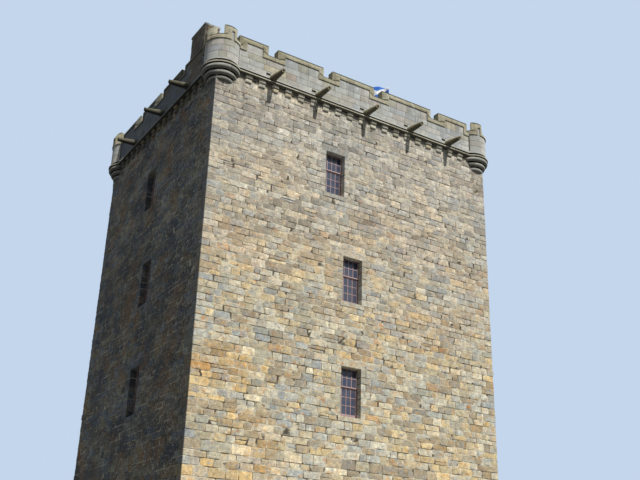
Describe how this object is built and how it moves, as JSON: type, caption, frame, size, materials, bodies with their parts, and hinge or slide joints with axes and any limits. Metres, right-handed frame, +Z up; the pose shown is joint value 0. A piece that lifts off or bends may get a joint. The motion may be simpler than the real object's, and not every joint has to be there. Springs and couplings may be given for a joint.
{
  "type": "castle keep",
  "caption": "Rectangular stone tower keep with corner rounds on rolled corbelling, a framed battlement, stone spouts, sash windows and a slated garret.",
  "frame": {"origin": "middle of the tower's footprint at ground level", "axes": "+X to the right along the front, +Y from the front to the back, +Z up"},
  "size_m": [15.708, 13.008, 26.1236],
  "materials": {
    "rubble": "weathered squared sandstone in courses",
    "ashlar": "pale grey fine ashlar",
    "moulded_stone": "khaki mossy moulded stone",
    "corbel_stone": "weathered grey sandstone",
    "spout_stone": "dark olive damp stone",
    "stack_stone": "brownish pink sandstone",
    "garret_stone": "squared sandstone",
    "paving": "worn stone flags",
    "boards": "sawn oak boards",
    "slate": "matt split slates",
    "window_paint": "brown pink paint, weathered",
    "window_glass": "clear old glass",
    "door_wood": "oiled oak planks",
    "staff_paint": "white gloss paint",
    "flag_cloth": "woven flag cloth"
  },
  "bodies": {
    "root": {"front_wall": "rubble", "back_wall": "rubble", "left_wall": "rubble", "right_wall": "rubble", "ground_floor": "paving", "first_floor": "boards", "second_floor": "boards", "third_floor": "boards", "garret_floor": "boards", "front_corbels": "corbel_stone", "back_corbels": "corbel_stone", "left_corbels": "corbel_stone", "right_corbels": "corbel_stone", "string_course": "moulded_stone", "front_parapet": "ashlar", "back_parapet": "ashlar", "left_parapet": "ashlar", "right_parapet": "ashlar", "front_cope": "moulded_stone", "back_cope": "moulded_stone", "left_cope": "moulded_stone", "right_cope": "moulded_stone", "round_corbelling": "corbel_stone", "near_left_round": "ashlar", "near_right_round": "ashlar", "far_left_round": "ashlar", "far_right_round": "ashlar", "round_copes": "moulded_stone", "front_spouts": "spout_stone", "back_spouts": "spout_stone", "left_spouts": "spout_stone", "right_spouts": "spout_stone", "chimney_stack": "stack_stone", "wall_walk": "paving", "garret_walls": "garret_stone", "left_gable": "garret_stone", "right_gable": "garret_stone", "roof": "slate", "front_windows": "window_paint", "back_windows": "window_paint", "left_windows": "window_paint", "right_windows": "window_paint", "window_glass": "window_glass", "plank_door": "door_wood", "walk_door": "door_wood", "flagstaff": "staff_paint", "flag": "flag_cloth"}
  },
  "joints": []
}
